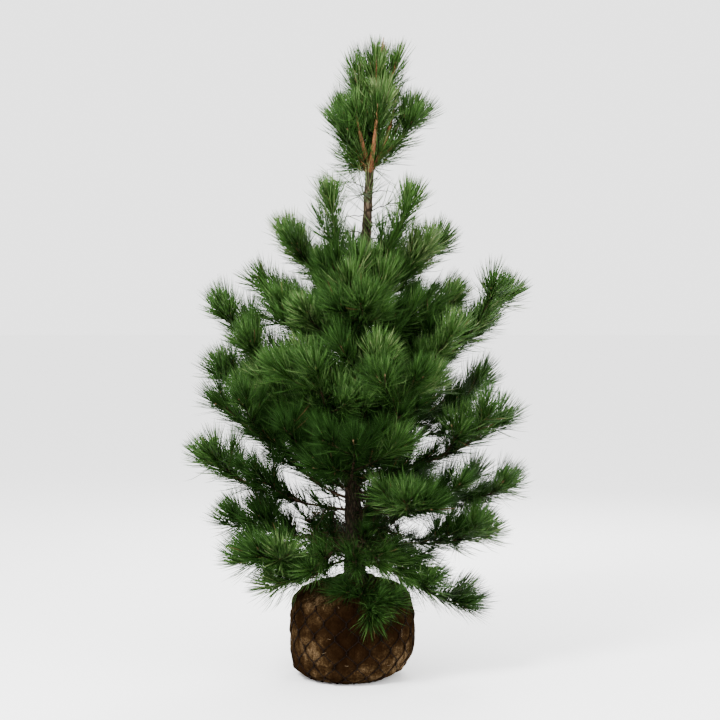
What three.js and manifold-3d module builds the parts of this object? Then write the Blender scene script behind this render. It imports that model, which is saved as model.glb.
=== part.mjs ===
// A pine sapling about 2.25 m tall, lifted from a nursery bed and standing on its wrapped root ball.
// Millimetres, +Z up. The origin is the centre of the root ball's flat underside, +X is the
// tree's right-hand side and -Y its front.
//
// Each bough is one tapering limb that leaves the trunk in a whorl, and its foliage is one solid
// of joined plumes: a leading plume on the bough's own line and side plumes that fork from it.

import * as THREE from "three";
import { mergeVertices } from "three/addons/utils/BufferGeometryUtils.js";
import Module from "manifold-3d";

const wasm = await Module();
wasm.setup();

// Root ball
const ballRadius = 221;
const ballHeight = 338;
const ballFootRadius = 158;
const ballSides = 22;
const ballRings = 7;
const ballUnevenness = 0.028;
const ballSag = 9; // by which its foot is pushed over to the left
const ballSagHeight = 120;

// Gathered sacking round the foot of the trunk
const collarHeight = 26;
const collarRadius = 78;

// Trunk
const trunkFootZ = ballHeight + 0.5;
const trunkTipZ = 2188;
const trunkSides = 9;
const trunkRings = 13;
const trunkRadius = 35; // just above the root flare
const trunkTopWhorlRadius = 16;
const trunkTipRadius = 4.5;
const rootFlare = 17; // how far the foot spreads past the trunk
const rootFlareHeight = 60;

// Limbs
const limbSides = 5;
const limbRings = 3;
const limbSwelling = 0.08;

// Foliage
const plumeSides = 6;
const plumeUnevenness = 0.13;
const sidePlumeSides = 5;

const frameSteps = 48; // steps at which a bent body's cross-sections are worked out

// Gaps between neighbours, which the faceted solids need
const faceGap = 1; // between two ends that meet
const sideGap = 5.5; // by which a neighbour is swollen before it is cut away
const ridgeHeight = 4; // ridges of foliage lower than this are smoothed away
const sliver = 1.5; // as are the slivers that a cut leaves, where they are narrower than this

// Whorls, from the top down. Each bough is [azimuth, reach, rise, bare, side plumes]: azimuth in
// degrees from +X towards +Y, reach from the trunk's centre line out to the needle tips, rise from
// the whorl up to those tips, bare the share of the bough with no needles (0 where the foliage
// begins at the trunk), and how many side plumes fork from its leading plume.
const whorls = [
  {
    name: "top", height: 1786, limbRadius: 11.5, plumeRadius: 58, curl: 1.0,
    boughs: {
      left: [174, 132, 262, 0.16, 1],
      rear: [118, 128, 390, 0, 1],
      right: [8, 208, 272, 0.4, 1],
      front: [292, 150, 300, 0, 1],
    },
  },
  {
    name: "shoulder", height: 1330, limbRadius: 12, plumeRadius: 66, curl: 1.15,
    boughs: {
      left: [168, 322, 310, 0.22, 2],
      front_left: [240, 236, 428, 0.3, 1],
      front_right: [316, 280, 420, 0.3, 1],
      right: [14, 345, 270, 0.24, 2],
      rear: [94, 320, 250, 0, 2],
    },
  },
  {
    name: "upper", height: 1150, limbRadius: 12, plumeRadius: 72, curl: 1.3,
    boughs: {
      left: [174, 382, 318, 0, 2],
      front: [256, 370, 212, 0, 3],
      right: [6, 412, 232, 0, 3],
      rear: [112, 400, 240, 0, 3],
    },
  },
  {
    name: "middle", height: 975, limbRadius: 13, plumeRadius: 72, curl: 1.35,
    boughs: {
      left: [182, 508, 392, 0.2, 3],
      front: [262, 400, 250, 0, 3],
      right: [355, 602, 440, 0.18, 3],
      rear: [62, 480, 290, 0, 3],
    },
  },
  {
    name: "broad", height: 830, limbRadius: 13, plumeRadius: 74, curl: 1.35,
    boughs: {
      left: [168, 520, 330, 0.2, 3],
      front_left: [230, 440, 330, 0, 3],
      front_right: [306, 450, 300, 0, 3],
      right: [24, 560, 262, 0.22, 3],
      rear: [128, 520, 270, 0, 3],
    },
  },
  {
    name: "waist", height: 690, limbRadius: 13, plumeRadius: 72, curl: 1.3,
    boughs: {
      left: [196, 545, 352, 0, 3],
      front: [272, 440, 230, 0, 3],
      right: [346, 600, 282, 0.24, 3],
      rear: [84, 520, 220, 0, 3],
    },
  },
  {
    name: "lower", height: 575, limbRadius: 10, plumeRadius: 66, curl: 1.25,
    boughs: {
      left: [178, 592, 236, 0.18, 3],
      front_right: [314, 430, 96, 0.24, 3],
      right: [4, 612, 150, 0.22, 3],
      rear: [66, 500, 120, 0, 3],
    },
  },
  {
    name: "skirt", height: 448, limbRadius: 9, plumeRadius: 60, curl: 1.0,
    boughs: {
      left: [168, 505, 140, 0.3, 3],
      front_left: [204, 490, 10, 0.34, 3],
      right: [354, 530, 92, 0.3, 3],
      rear: [98, 430, 20, 0, 2],
    },
  },
  {
    name: "foot", height: 425, limbRadius: 8, plumeRadius: 52, curl: 1.1,
    boughs: {
      left: [208, 370, -70, 0.36, 2],
      front: [284, 292, -180, 0.34, 2],
      right: [350, 455, -172, 0.3, 2],
    },
  },
];

const up = new THREE.Vector3(0, 0, 1);
const barkLook = { color: 0x4a3a2c, roughness: 0.9, metalness: 0 };
const youngBarkLook = { color: 0x8a5230, roughness: 0.8, metalness: 0 };
const needleLook = { color: 0x35592a, roughness: 0.6, metalness: 0 };
const sackingLook = { color: 0x5c4630, roughness: 1, metalness: 0 };

// A repeatable uneven value from -1 to 1 for one point of a ring.
function uneven(seed, ring, side) {
  const wave = Math.sin(seed * 12.9898 + ring * 37.719 + side * 78.233) * 43758.5453;
  return 2 * (wave - Math.floor(wave)) - 1;
}

// The closed surface of a three.js geometry as a solid. Points that a lathe repeats are merged,
// and the flat triangles that this leaves at its poles are dropped.
function solidFrom(geometry) {
  const shape = geometry.clone();
  for (const name of ["normal", "uv"]) shape.deleteAttribute(name);
  const merged = mergeVertices(shape, 1e-3);
  const corners = merged.index.array;
  const kept = [];
  for (let i = 0; i < corners.length; i += 3) {
    const [a, b, c] = corners.slice(i, i + 3);
    if (a !== b && b !== c && c !== a) kept.push(a, b, c);
  }
  return new wasm.Manifold(
    new wasm.Mesh({
      numProp: 3,
      vertProperties: new Float32Array(merged.attributes.position.array),
      triVerts: new Uint32Array(kept),
    }),
  );
}

function geometryFrom(solid) {
  const mesh = solid.getMesh();
  return new THREE.BufferGeometry()
    .setAttribute("position", new THREE.BufferAttribute(mesh.vertProperties, 3))
    .setIndex(new THREE.BufferAttribute(mesh.triVerts, 1));
}

// The largest piece of a solid, where a cut has left crumbs beside it.
function largestPiece(solid) {
  return solid.decompose().sort((a, b) => b.volume() - a.volume())[0];
}

function cutClearOf(solid, neighbours) {
  return largestPiece(neighbours.reduce((left, other) => left.subtract(other), solid));
}

// A round body along a curve: radiusAt(share) is its radius, with a flat end wherever that isn't 0.
// ridge(ring, side) is a share by which a point of a ring stands out or in, and swell moves the
// whole surface out. A spacing over 1 puts the rings closer together near the start.
function bodyAlong(curve, { radiusAt, rings, sides, ridge, swell = 0, spacing = 1 }) {
  const shareOf = (ring) => (ring / rings) ** spacing;
  const profile = [new THREE.Vector2(0, 0)];
  for (let ring = 0; ring <= rings; ring++) {
    profile.push(new THREE.Vector2(radiusAt(shareOf(ring)), shareOf(ring)));
  }
  profile.push(new THREE.Vector2(0, 1));
  const geometry = new THREE.LatheGeometry(profile, sides);
  const frames = curve.computeFrenetFrames(frameSteps, false);
  const places = geometry.attributes.position;
  for (let i = 0; i < places.count; i++) {
    const side = Math.floor(i / profile.length) % sides;
    const ring = Math.min(Math.max((i % profile.length) - 1, 0), rings);
    const step = Math.round(shareOf(ring) * frameSteps);
    const [x, z] = [places.getX(i), places.getZ(i)];
    const radius = Math.hypot(x, z);
    const out = radius > 0 ? 1 + ridge(ring, side) + swell / radius : 0;
    const ahead = ring === 0 ? -swell : ring === rings ? swell : 0;
    const place = curve
      .getPointAt(shareOf(ring))
      .addScaledVector(frames.normals[step], x * out)
      .addScaledVector(frames.binormals[step], -z * out)
      .addScaledVector(frames.tangents[step], ahead);
    places.setXYZ(i, place.x, place.y, place.z);
  }
  return solidFrom(geometry);
}

// The stretch of a curve between two shares of its length.
function stretchOf(curve, from, to, steps = 6) {
  const points = [];
  for (let i = 0; i <= steps; i++) {
    points.push(curve.getPointAt(THREE.MathUtils.lerp(from, to, i / steps)));
  }
  return new THREE.CatmullRomCurve3(points);
}

// Trunk: a slight double bend that leans to the right as it rises.
const trunkLine = new THREE.CatmullRomCurve3(
  [
    [11, -1, trunkFootZ - 20],
    [8, 3, 500],
    [-6, 8, 900],
    [6, 10, 1150],
    [48, 4, 1500],
    [62, 0, 1786],
    [88, -4, 2010],
    [106, -6, trunkTipZ],
  ].map(([x, y, z]) => new THREE.Vector3(x, y, z)),
);

function trunkRadiusAtHeight(z) {
  const topWhorlZ = whorls[0].height;
  const flare = rootFlare * Math.exp(Math.min(0, (trunkFootZ - z) / (rootFlareHeight / 2)));
  if (z > topWhorlZ) {
    const share = (z - topWhorlZ) / (trunkTipZ - topWhorlZ);
    return THREE.MathUtils.lerp(trunkTopWhorlRadius * 0.8, trunkTipRadius, share);
  }
  const share = (z - trunkFootZ) / (topWhorlZ - trunkFootZ);
  return THREE.MathUtils.lerp(trunkRadius, trunkTopWhorlRadius, share) + flare;
}

// The trunk is cut off flat at its foot, square to the ground.
function makeTrunk(swell) {
  const trunk = bodyAlong(trunkLine, {
    radiusAt: (share) => trunkRadiusAtHeight(trunkLine.getPointAt(share).z),
    rings: trunkRings,
    sides: trunkSides,
    ridge: (ring, side) => 0.04 * uneven(3, ring, side),
    swell,
    spacing: 1.5,
  });
  return trunk.trimByPlane([0, 0, 1], trunkFootZ);
}

function trunkCentreAt(z) {
  let low = 0;
  let high = 1;
  for (let i = 0; i < 24; i++) {
    const middle = (low + high) / 2;
    if (trunkLine.getPointAt(middle).z < z) low = middle;
    else high = middle;
  }
  return trunkLine.getPointAt(low);
}

// A bough's centre line, which ends inside the foliage that wraps it. It sets out level and bends
// up or down by the whorl's curl, with a slight sideways sweep of its own.
function boughLine(whorl, [azimuth, tipReach, tipRise], seed) {
  const reach = tipReach - 0.1 * whorl.plumeRadius;
  const rise = tipRise - 0.45 * whorl.plumeRadius;
  const angle = THREE.MathUtils.degToRad(azimuth);
  const out = new THREE.Vector3(Math.cos(angle), Math.sin(angle), 0);
  const across = new THREE.Vector3().crossVectors(up, out);
  const sweep = 0.05 * reach * uneven(seed, 1, 2);
  const start = trunkCentreAt(whorl.height);
  const points = [];
  for (const share of [0, 0.2, 0.4, 0.6, 0.8, 1]) {
    points.push(
      start
        .clone()
        .addScaledVector(out, reach * share)
        .addScaledVector(across, sweep * Math.sin(Math.PI * share))
        .addScaledVector(up, rise * share ** whorl.curl),
    );
  }
  return new THREE.CatmullRomCurve3(points);
}

function makeLimb(whorl, line, bare, swell, seed) {
  const bareLine = stretchOf(line, 0, bare);
  return bodyAlong(stretchOf(bareLine, 0, 1 - faceGap / bareLine.getLength()), {
    radiusAt: (share) => whorl.limbRadius * (1 - 0.35 * share),
    rings: limbRings,
    sides: limbSides,
    ridge: (ring, side) => limbSwelling * uneven(seed, ring, side),
    swell,
  });
}

// A plume's radius along it: narrow where it leaves the limb, full for most of its length and
// drawn in at the tip, where the needles point forward.
function plumeRadiusAt(share, radius, neck) {
  const spread = Math.sin((Math.PI / 2) * Math.min(1, share / 0.45));
  const tip = share > 0.7 ? 1 - 0.55 * ((share - 0.7) / 0.3) ** 1.6 : 1;
  return (neck + (radius - neck) * spread) * tip;
}

function makePlume(line, { radius, neck, rings, sides, swell, seed }) {
  return bodyAlong(line, {
    radiusAt: (share) => plumeRadiusAt(share, radius, neck),
    rings,
    sides,
    ridge: (ring, side) => (ring === 0 ? 0 : plumeUnevenness * uneven(seed, ring, side)),
    swell,
  });
}

// Side plumes fork from the leading one by turns towards the tree's front and rear.
function sidePlumeLine(leading, index, count, seed) {
  const fork = 0.06 + (0.55 * index) / count;
  const start = leading.getPointAt(fork);
  const ahead = leading.getTangentAt(fork);
  const across = new THREE.Vector3().crossVectors(ahead, up).normalize();
  const turn = (index % 2 === 0) === across.y < 0 ? 1 : -1;
  const lift = 0.05 + 0.2 * uneven(seed, index, 5);
  const heading = ahead
    .clone()
    .addScaledVector(across, turn * (0.78 + 0.12 * uneven(seed, index, 7)))
    .addScaledVector(up, lift)
    .normalize();
  const length = leading.getLength() * (0.62 - 0.3 * fork) + 40;
  const end = start.clone().addScaledVector(heading, length).addScaledVector(up, 0.12 * length);
  const middle = start.clone().addScaledVector(heading, length * 0.5);
  return new THREE.CatmullRomCurve3([start, middle, end]);
}

function makeFoliage(whorl, line, bare, sideCount, swell, seed) {
  const from = bare > 0 ? bare : 0.12;
  const leading = stretchOf(line, from, 1);
  const neck = whorl.limbRadius * (bare > 0 ? 1.1 : 1.6);
  const look = { rings: 3, sides: plumeSides, swell, seed };
  let foliage = makePlume(leading, { ...look, radius: whorl.plumeRadius, neck });
  for (let i = 0; i < sideCount; i++) {
    const radius = whorl.plumeRadius * 0.86;
    const side = sidePlumeLine(leading, i, sideCount, seed);
    const sideLook = { rings: 2, sides: sidePlumeSides, swell, seed: seed + i + 1 };
    foliage = foliage.add(makePlume(side, { ...sideLook, radius, neck: radius * 0.4 }));
  }
  return swell > 0 ? foliage : foliage.simplify(ridgeHeight);
}

// Root ball: a flat foot, steep sides and a rounded shoulder, pressed a little out of round.
function makeRootBall() {
  const outline = new THREE.CatmullRomCurve3(
    [
      [ballFootRadius, 0],
      [ballRadius * 0.88, 18],
      [ballRadius * 0.97, 58],
      [ballRadius, 130],
      [ballRadius, 220],
      [ballRadius * 0.95, 276],
      [ballRadius * 0.8, 318],
      [ballRadius * 0.5, ballHeight],
    ].map(([radius, height]) => new THREE.Vector3(radius, height, 0)),
  );
  const profile = [new THREE.Vector2(0, 0)];
  for (const point of outline.getSpacedPoints(ballRings)) {
    profile.push(new THREE.Vector2(point.x, Math.min(Math.max(point.y, 0), ballHeight)));
  }
  profile.push(new THREE.Vector2(0, ballHeight));
  const geometry = new THREE.LatheGeometry(profile, ballSides);
  const places = geometry.attributes.position;
  for (let i = 0; i < places.count; i++) {
    const [x, height, z] = [places.getX(i), places.getY(i), places.getZ(i)];
    const angle = Math.atan2(z, x);
    const pressed =
      Math.sin(3 * angle + 1.1) * 0.5 +
      Math.sin(5 * angle + height / 60) * 0.3 +
      Math.sin(2 * angle - height / 90) * 0.4;
    const out = 1 + ballUnevenness * pressed;
    const sag = ballSag * Math.max(0, 1 - height / ballSagHeight);
    places.setXYZ(i, x * out - sag, -z * out, height);
  }
  return solidFrom(geometry);
}

// The sacking is drawn up round the trunk's foot in a low neck with an open middle.
function makeCollar() {
  const foot = ballHeight - 4;
  const inner = trunkRadiusAtHeight(trunkFootZ) + 5;
  const rim = ballHeight + collarHeight;
  const profile = [
    [inner, foot],
    [collarRadius, foot],
    [collarRadius * 0.86, foot + collarHeight * 0.4],
    [collarRadius * 0.74, foot + collarHeight * 0.62],
    [collarRadius * 0.8, rim],
    [inner, rim],
    [inner, foot],
  ].map(([radius, height]) => new THREE.Vector2(radius, height));
  const geometry = new THREE.LatheGeometry(profile, 12);
  const places = geometry.attributes.position;
  const centre = trunkLine.getPointAt(0);
  for (let i = 0; i < places.count; i++) {
    const [x, height, z] = [places.getX(i), places.getY(i), places.getZ(i)];
    places.setXYZ(i, x + centre.x, -z + centre.y, height);
  }
  return solidFrom(geometry);
}

const tree = new THREE.Group();

function addNode(name, solid, look) {
  const mesh = new THREE.Mesh(geometryFrom(solid), new THREE.MeshStandardMaterial(look));
  mesh.name = name;
  tree.add(mesh);
}

const ball = makeRootBall().add(makeCollar());
const swollenBall = ball.scale([ballRadius, ballRadius, ballHeight].map((size) => 1 + sideGap / size));
addNode("root_ball", ball, sackingLook);
addNode("trunk", makeTrunk(0), barkLook);

// Limbs first, so that every mass of foliage can be cut round all of them.
const woodNeighbours = [makeTrunk(sideGap)];
const limbs = [];
let seed = 11;
for (const whorl of whorls) {
  for (const [side, bough] of Object.entries(whorl.boughs)) {
    seed += 7;
    const line = boughLine(whorl, bough, seed);
    const entry = { whorl, bough, line, seed, name: `${whorl.name}_${side}` };
    limbs.push(entry);
    const bare = bough[3];
    if (bare > 0) {
      const limb = makeLimb(whorl, line, bare, 0, seed);
      const look = whorl.name === "top" ? youngBarkLook : barkLook;
      addNode(`bough_${entry.name}`, cutClearOf(limb, [...woodNeighbours, swollenBall]), look);
      entry.swollenLimb = makeLimb(whorl, line, bare, sideGap, seed);
    }
  }
}
const otherLimbs = (entry) =>
  limbs.filter((other) => other !== entry && other.swollenLimb).map((other) => other.swollenLimb);

// The leader's foliage wraps the trunk above the top whorl.
const leaderFrom = 0.86;
const leaderLine = stretchOf(trunkLine, leaderFrom, 1);
const leaderEnd = leaderLine.getPointAt(1).add(new THREE.Vector3(2, 0, 66));
const leaderPlumeLine = new THREE.CatmullRomCurve3([
  leaderLine.getPointAt(0),
  leaderLine.getPointAt(0.5),
  leaderLine.getPointAt(1),
  leaderEnd,
]);
const makeLeader = (swell) =>
  makePlume(leaderPlumeLine, { radius: 86, neck: 40, rings: 5, sides: 8, swell, seed: 5 });
const finished = [makeLeader(sideGap)];
const wood = [...woodNeighbours, ...limbs.filter((l) => l.swollenLimb).map((l) => l.swollenLimb)];
addNode("foliage_leader", cutClearOf(makeLeader(0), wood).simplify(sliver), needleLook);

for (const entry of limbs) {
  const [, , , bare, sideCount] = entry.bough;
  const foliage = makeFoliage(entry.whorl, entry.line, bare, sideCount, 0, entry.seed);
  const neighbours = [...woodNeighbours, ...otherLimbs(entry), ...finished, swollenBall];
  addNode(`foliage_${entry.name}`, cutClearOf(foliage, neighbours).simplify(sliver), needleLook);
  finished.push(makeFoliage(entry.whorl, entry.line, bare, sideCount, sideGap, entry.seed));
}

export default tree;
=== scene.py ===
# A pine sapling on its wrapped root ball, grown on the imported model's own solids.
# Every length is in metres.
import math

import bpy
import numpy as np
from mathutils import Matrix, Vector, noise
from mathutils.bvhtree import BVHTree


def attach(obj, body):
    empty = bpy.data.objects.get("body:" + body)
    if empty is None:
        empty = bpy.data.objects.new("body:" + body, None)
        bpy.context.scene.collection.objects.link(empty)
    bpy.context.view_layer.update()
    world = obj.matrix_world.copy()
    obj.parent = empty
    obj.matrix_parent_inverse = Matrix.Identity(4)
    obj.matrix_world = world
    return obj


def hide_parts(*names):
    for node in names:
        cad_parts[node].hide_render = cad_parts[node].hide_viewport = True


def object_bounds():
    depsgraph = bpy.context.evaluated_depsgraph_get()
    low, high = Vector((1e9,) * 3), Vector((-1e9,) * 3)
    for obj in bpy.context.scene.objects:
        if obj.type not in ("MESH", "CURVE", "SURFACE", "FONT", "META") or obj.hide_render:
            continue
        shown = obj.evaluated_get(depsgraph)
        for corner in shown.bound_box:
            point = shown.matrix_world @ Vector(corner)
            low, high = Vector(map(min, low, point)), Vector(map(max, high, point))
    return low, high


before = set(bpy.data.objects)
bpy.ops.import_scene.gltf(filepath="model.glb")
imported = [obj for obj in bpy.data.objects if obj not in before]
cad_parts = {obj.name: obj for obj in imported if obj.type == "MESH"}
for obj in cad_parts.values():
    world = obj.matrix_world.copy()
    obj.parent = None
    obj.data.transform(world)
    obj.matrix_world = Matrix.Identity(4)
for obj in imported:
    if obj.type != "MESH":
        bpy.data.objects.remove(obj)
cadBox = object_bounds()
dice = np.random.default_rng(23)
up = np.array([0.0, 0.0, 1.0])
foliageNodes = sorted(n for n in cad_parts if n.startswith("foliage_"))
boughNodes = sorted(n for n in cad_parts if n.startswith("bough_"))
bpy.ops.object.select_all(action="DESELECT")


class Value:
    # one output socket, so that sums on values read as plain Python
    def __init__(self, finish, socket):
        self.finish, self.socket = finish, socket

    def maths(self, operation, *others):
        return self.finish.add("ShaderNodeMath", {"operation": operation}, [self, *others])

    def flipped(self, operation, other):
        return self.finish.add("ShaderNodeMath", {"operation": operation}, [other, self])

    def __add__(self, other): return self.maths("ADD", other)
    def __radd__(self, other): return self.maths("ADD", other)
    def __sub__(self, other): return self.maths("SUBTRACT", other)
    def __rsub__(self, other): return self.flipped("SUBTRACT", other)
    def __mul__(self, other): return self.maths("MULTIPLY", other)
    def __rmul__(self, other): return self.maths("MULTIPLY", other)


class Finish:
    # one material and the nodes added to it
    def __init__(self, name, **fixed):
        self.material = bpy.data.materials.new(name)
        self.material.use_nodes = True
        self.tree = self.material.node_tree
        self.surface = self.tree.nodes["Principled BSDF"]
        for socket, amount in fixed.items():
            self.surface.inputs[socket.replace("_", " ")].default_value = amount

    def add(self, kind, settings=None, inputs=(), output=0):
        node = self.tree.nodes.new(kind)
        for key, setting in (settings or {}).items():
            if key == "stops":
                ramp = node.color_ramp
                while len(ramp.elements) < len(setting):
                    ramp.elements.new(1)
                for element, (place, colour) in zip(ramp.elements, setting):
                    element.position = place
                    element.color = (*colour, 1)
            else:
                setattr(node, key, setting)
        pairs = inputs.items() if isinstance(inputs, dict) else enumerate(inputs)
        for key, given in pairs:
            if isinstance(given, Value):
                self.tree.links.new(given.socket, node.inputs[key])
            else:
                node.inputs[key].default_value = given
        return Value(self, node.outputs[output])

    def feed(self, socket, given):
        self.tree.links.new(given.socket, self.surface.inputs[socket])

    def place(self, source="Object", stretch=(1, 1, 1)):
        spot = self.add("ShaderNodeTexCoord", output=source)
        return self.add("ShaderNodeMapping", inputs={"Vector": spot, "Scale": stretch})

    def mottle(self, spot, size, detail=3.0):
        settings = {"noise_dimensions": "3D"}
        given = {"Vector": spot, "Scale": size, "Detail": detail}
        return self.add("ShaderNodeTexNoise", settings, given, output="Fac")

    def ramp(self, amount, stops):
        return self.add("ShaderNodeValToRGB", {"stops": stops}, [amount])

    def blend(self, amount, first, second):
        given = {"Factor": amount, 6: first, 7: second}  # 6 and 7 are its colour sockets
        return self.add("ShaderNodeMix", {"data_type": "RGBA"}, given, output=2)

    def relief(self, height, strength, distance):
        given = {"Height": height, "Strength": strength, "Distance": distance}
        self.feed("Normal", self.add("ShaderNodeBump", inputs=given))


def outward(angle):
    return np.array([math.cos(angle), math.sin(angle), 0])


def unit(vectors):
    vectors = np.asarray(vectors, float)
    return vectors / np.maximum(np.linalg.norm(vectors, axis=-1, keepdims=True), 1e-9)


def solidOf(node):
    # a CAD node's points and triangles, with the corners that it repeats merged
    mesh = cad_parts[node].data
    mesh.calc_loop_triangles()
    points = np.array([v.co for v in mesh.vertices], float)
    corners = np.array([t.vertices for t in mesh.loop_triangles])
    shared, which = np.unique(points.round(5), axis=0, return_inverse=True)
    return shared, which.reshape(-1)[corners]


def meshOf(name, points, faceSizes, corners, finish):
    # one object from plain arrays
    mesh = bpy.data.meshes.new(name)
    mesh.vertices.add(len(points))
    mesh.vertices.foreach_set("co", np.asarray(points, np.float32).ravel())
    mesh.loops.add(len(corners))
    mesh.loops.foreach_set("vertex_index", np.asarray(corners, np.int32))
    mesh.polygons.add(len(faceSizes))
    starts = np.concatenate([[0], np.cumsum(faceSizes)[:-1]])
    mesh.polygons.foreach_set("loop_start", starts.astype(np.int32))
    mesh.polygons.foreach_set("use_smooth", np.full(len(faceSizes), True))
    mesh.update(calc_edges=True)
    made = bpy.data.objects.new(name, mesh)
    bpy.context.scene.collection.objects.link(made)
    mesh.materials.append(finish.material)
    return made


def declare(piece, slot, *nodes):
    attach(piece, "root")
    if nodes:
        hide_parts(*nodes)


def activate(piece):
    bpy.ops.object.select_all(action="DESELECT")
    piece.select_set(True)
    bpy.context.view_layer.objects.active = piece


def ringedShape(name, sides, rings):
    # a shape drawn up from a disc, one ring after another, each with its centre and radius
    (last, lastRadius), *others = rings
    bpy.ops.mesh.primitive_circle_add(vertices=sides, radius=lastRadius, fill_type="NGON",
                                      location=last)
    shape = bpy.context.object
    shape.name = shape.data.name = name
    bpy.ops.object.transform_apply(location=True)
    bpy.ops.object.mode_set(mode="EDIT")
    for centre, radius in others:
        move = np.subtract(centre, last)
        bpy.ops.mesh.extrude_region_move(TRANSFORM_OT_translate={"value": move})
        scale = radius / lastRadius
        bpy.ops.transform.resize(value=(scale, scale, 1), center_override=centre)
        last, lastRadius = centre, radius
    bpy.ops.mesh.select_all(action="SELECT")
    bpy.ops.mesh.normals_make_consistent(inside=False)
    bpy.ops.object.mode_set(mode="OBJECT")
    return shape


class Tubes:
    # many tapering twigs gathered into one mesh: rings of points, joined ring to ring and
    # closed by a point at each end
    def __init__(self):
        self.points, self.sizes, self.corners, self.count = [], [], [], 0

    def add(self, path, radii, sides, relief=None):
        path = np.asarray(path, float)
        ahead = unit(np.gradient(path, axis=0))
        side = np.cross(ahead[0], up if abs(ahead[0][2]) < 0.9 else (1, 0, 0))
        turns = 2 * math.pi * np.arange(sides) / sides
        rings = []
        for place, along, radius in zip(path, ahead, radii):
            side = unit(side - along * np.dot(side, along))
            other = np.cross(along, side)
            out = np.outer(np.cos(turns), side) + np.outer(np.sin(turns), other)
            ring = place + out * radius
            if relief:
                ring = ring + out * relief(ring, radius)[:, None]
            rings.append(ring)
        start = self.count
        ends = [path[0] - ahead[0] * radii[0] * 0.4, path[-1] + ahead[-1] * radii[-1] * 0.8]
        self.points.extend(rings + [np.array(ends)])
        last = start + len(path) * sides
        for r in range(len(path) - 1):
            low, high = start + r * sides, start + (r + 1) * sides
            for k in range(sides):
                n = (k + 1) % sides
                self.corners.extend((low + k, low + n, high + n, high + k))
            self.sizes.extend([4] * sides)
        for k in range(sides):
            n = (k + 1) % sides
            self.corners.extend((last, start + n, start + k))
            self.corners.extend((last - sides + k, last - sides + n, last + 1))
        self.sizes.extend([3] * 2 * sides)
        self.count = last + 2

    def build(self, name, finish):
        points = np.concatenate(self.points)
        return meshOf(name, points, self.sizes, self.corners, finish)


def bentPath(start, heading, end, arrival, steps):
    # a smooth line that sets out along heading and comes in along arrival
    t = np.linspace(0, 1, steps)[:, None]
    reach = np.linalg.norm(np.subtract(end, start))
    first, second = np.asarray(heading) * reach, np.asarray(arrival) * reach
    return (
        (2 * t**3 - 3 * t**2 + 1) * start
        + (t**3 - 2 * t**2 + t) * first
        + (3 * t**2 - 2 * t**3) * end
        + (t**3 - t**2) * second
    )


def lengthOf(path):
    return float(np.linalg.norm(np.diff(path, axis=0), axis=1).sum())


def pointAt(path, share):
    spot = min(max(share, 0), 1) * (len(path) - 1)
    low = min(int(spot), len(path) - 2)
    return path[low] + (path[low + 1] - path[low]) * (spot - low), unit(path[low + 1] - path[low])


def barkFinish():
    finish = Finish("flaking bark", Roughness=0.9, Specular_IOR_Level=0.08)
    spot = finish.place(stretch=(1, 1, 0.35))
    plates = finish.add("ShaderNodeTexVoronoi", {"feature": "DISTANCE_TO_EDGE"},
                        {"Vector": spot, "Scale": 95.0, "Randomness": 1.0}, output="Distance")
    grain = finish.mottle(spot, 260.0, 5.0)
    lichen = finish.mottle(finish.place(), 22.0, 4.0)
    bark = finish.ramp(plates * 2.6 + grain * 0.55, [
        (0.1, (0.004, 0.0024, 0.0014)), (0.42, (0.014, 0.0085, 0.005)),
        (0.7, (0.032, 0.021, 0.013)), (0.95, (0.085, 0.06, 0.04)),
    ])
    cover = finish.ramp(lichen, [(0.5, (0, 0, 0)), (0.68, (0.75, 0.75, 0.75))])
    colour = finish.blend(cover, bark, (0.022, 0.027, 0.01, 1))
    height = finish.add("ShaderNodeSeparateXYZ", {}, {"Vector": finish.place()}, output="Z")
    lit = (height * 2.4 - 1.2).maths("MAXIMUM", 0.25).maths("MINIMUM", 1.0)  # painted shade: darker near the foot, where the crown shades the trunk, on top of its darker old bark
    finish.feed("Base Color", finish.blend(lit, (0.003, 0.0022, 0.0012, 1), colour))
    finish.relief(plates * 2 + grain, 0.55, 0.002)
    return finish


def boughFinish():
    finish = Finish("bough bark", Roughness=0.85, Specular_IOR_Level=0.06)
    spot = finish.place()
    grain = finish.mottle(spot, 320.0, 5.0)
    patches = finish.mottle(spot, 30.0, 3.0)
    colour = finish.ramp(grain * 0.6 + patches * 0.5, [
        (0.3, (0.004, 0.0026, 0.0016)), (0.5, (0.013, 0.0082, 0.0048)),
        (0.72, (0.05, 0.032, 0.018)),
    ])
    finish.feed("Base Color", colour)
    finish.relief(grain, 0.5, 0.0015)
    return finish


def youngFinish():
    finish = Finish("young orange bark", Roughness=0.7, Specular_IOR_Level=0.25)
    spot = finish.place()
    scales = finish.add("ShaderNodeTexVoronoi", {"feature": "F1"},
                        {"Vector": spot, "Scale": 240.0, "Randomness": 0.8}, output="Distance")
    patches = finish.mottle(spot, 40.0, 4.0)
    colour = finish.ramp(scales * 0.5 + patches * 0.7, [
        (0.3, (0.03, 0.009, 0.003)), (0.52, (0.1, 0.034, 0.012)), (0.75, (0.19, 0.075, 0.028)),
    ])
    finish.feed("Base Color", colour)
    finish.relief(scales, 0.6, 0.0012)
    return finish


def mottledFinish(name, size, detail, stops, depth=0, **fixed):
    # one mottled colour, with a slight relief where a depth is given
    finish = Finish(name, **fixed)
    tone = finish.mottle(finish.place(), size, detail)
    finish.feed("Base Color", finish.ramp(tone, stops))
    if depth:
        finish.relief(tone, depth, 0.001)
    return finish


def needleFinish(name, colour, roughness, gloss=0.09):
    # plain, because the greens are dealt out by spray
    return Finish(name, Base_Color=(*colour, 1), Roughness=roughness, Specular_IOR_Level=gloss)


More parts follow.
